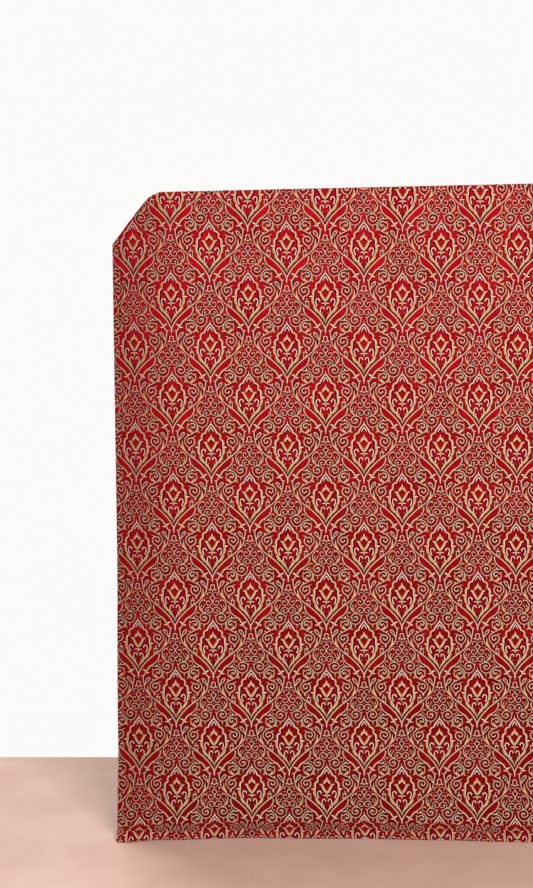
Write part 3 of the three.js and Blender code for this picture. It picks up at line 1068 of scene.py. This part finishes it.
print("sliced within", ZONE, "m of the edges, the fold and the foot")

# %% Hang the figure in bands
OUTLINE_RISE = 0.00010
FIGURE_RISE = 0.00030


def hung_bands(name, flat_arrays, material, bands, rise):
    """The figure hung in upright bands, each a piece of its own."""
    points, triangles, values = fitted(*flat_arrays)
    lift = THICKNESS / 2 + rise + values.pop("lift")
    hung_and_flat = np.hstack([hang(points[:, 0], points[:, 1], lift), points[:, :2]])
    middle = points[triangles, 0].mean(axis=1)
    limits = np.sort(middle)[np.linspace(0, len(middle) - 1, bands + 1).astype(int)]
    band = np.clip(np.searchsorted(limits, middle, side="right") - 1, 0, bands - 1)
    pieces = []
    for number in range(bands):
        used, own, own_values = taken(hung_and_flat, triangles[band == number], values)
        flat = used[:, 3:]
        sides = flat[:, 0].min(), flat[:, 0].max()
        bake = bake_place(flat[:, 0], flat[:, 1], sides, FIGURE_ENDS)
        piece_name = f"{name}_{number + 1}"
        piece = mesh_of(piece_name, used[:, :3], own, flat, bake, [material], None, own_values)
        pieces.append(piece)
        print(piece.name, "has", len(own), "triangles")
    return pieces


flat_outline = woven_arrays(outline_chart, outlined)
figure_pieces = hung_bands("woven_figure", flat_figure, figured, 4, FIGURE_RISE)
outline_pieces = hung_bands("figure_outline", flat_outline, outlined, 3, OUTLINE_RISE)

# %% [markdown]
# The room is only a plain pale floor, which ends in a pale surround behind the cloth. The key
# lamp stands before the cloth and above it, so its light falls off towards the foot. A weak
# lamp fills from the right, and one behind lights the floor on the left.

# %% Floor, surround and lights
FLOOR_LOW = (0.66, 0.42, 0.335, 1)
FLOOR_HIGH = (0.72, 0.48, 0.39, 1)
FLOOR_GAP = 0.0002
SURROUND = (1.0, 0.995, 0.985, 1)
SEEN_STRENGTH = 0.965
GIVEN_STRENGTH = 0.24


def floor_finish(bench):
    place = bench.node("ShaderNodeTexCoord", out="Object")
    grain = bench.noise(place, 9, 4)
    fine = bench.noise(place, 160, 2)
    colour = bench.blend(grain.step(0.35, 0.7), FLOOR_LOW, FLOOR_HIGH)
    return colour, fine * 0.15 + 0.4, fine * 0.0002


def floor_piece():
    left, right, near, far = -4.0, 4.0, -5.0, 0.402
    level = FLOOR - FLOOR_GAP
    corners = [(left, near, level), (right, near, level), (right, far, level), (left, far, level)]
    mesh = bpy.data.meshes.new("floor")
    mesh.from_pydata(corners, [], [(0, 1, 2, 3)])
    mesh.materials.append(finish("pale_floor", floor_finish))
    return linked("floor", mesh)


def soft_light(name, place, towards, size, power):
    light = bpy.data.lights.new(name, "AREA")
    light.shape = "RECTANGLE"
    light.size = light.size_y = size
    light.energy = power
    holder = linked(name, light)
    holder.location = place
    aim = Vector(towards) - Vector(place)
    holder.rotation_euler = aim.to_track_quat("-Z", "Y").to_euler()


def surround():
    """A pale surround, seen brighter than the light it gives, so that the lamps shape the cloth."""
    world = bpy.data.worlds.new("surround")
    world.use_nodes = True
    bench = Bench(world.node_tree)
    seen = bench.node("ShaderNodeLightPath", out="Is Camera Ray")
    background = world.node_tree.nodes["Background"]
    background.inputs["Color"].default_value = SURROUND
    strength = seen * (SEEN_STRENGTH - GIVEN_STRENGTH) + GIVEN_STRENGTH
    world.node_tree.links.new(strength.socket, background.inputs["Strength"])
    bpy.context.scene.world = world


surround()
soft_light("key", (0.05, -2.00, 0.50), (-0.15, 0.0, -0.40), 0.9, 52)
soft_light("fill", (2.2, -2.8, 0.6), (0.1, 0.0, -0.5), 1.6, 4)
soft_light("back", (-1.3, 1.3, 1.0), (-1.2, 0.1, -0.94), 1.0, 37)
floor = floor_piece()
print("floor level", round(floor.data.vertices[0].co.z, 4))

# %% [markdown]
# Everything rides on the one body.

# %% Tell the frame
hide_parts("cloth")
for piece in [cloth, *figure_pieces, *outline_pieces]:
    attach(piece, "root")
total = 2 * len(cloth.data.polygons)
total += sum(len(piece.data.polygons) for piece in [*figure_pieces, *outline_pieces])
print("triangles in all:", total)
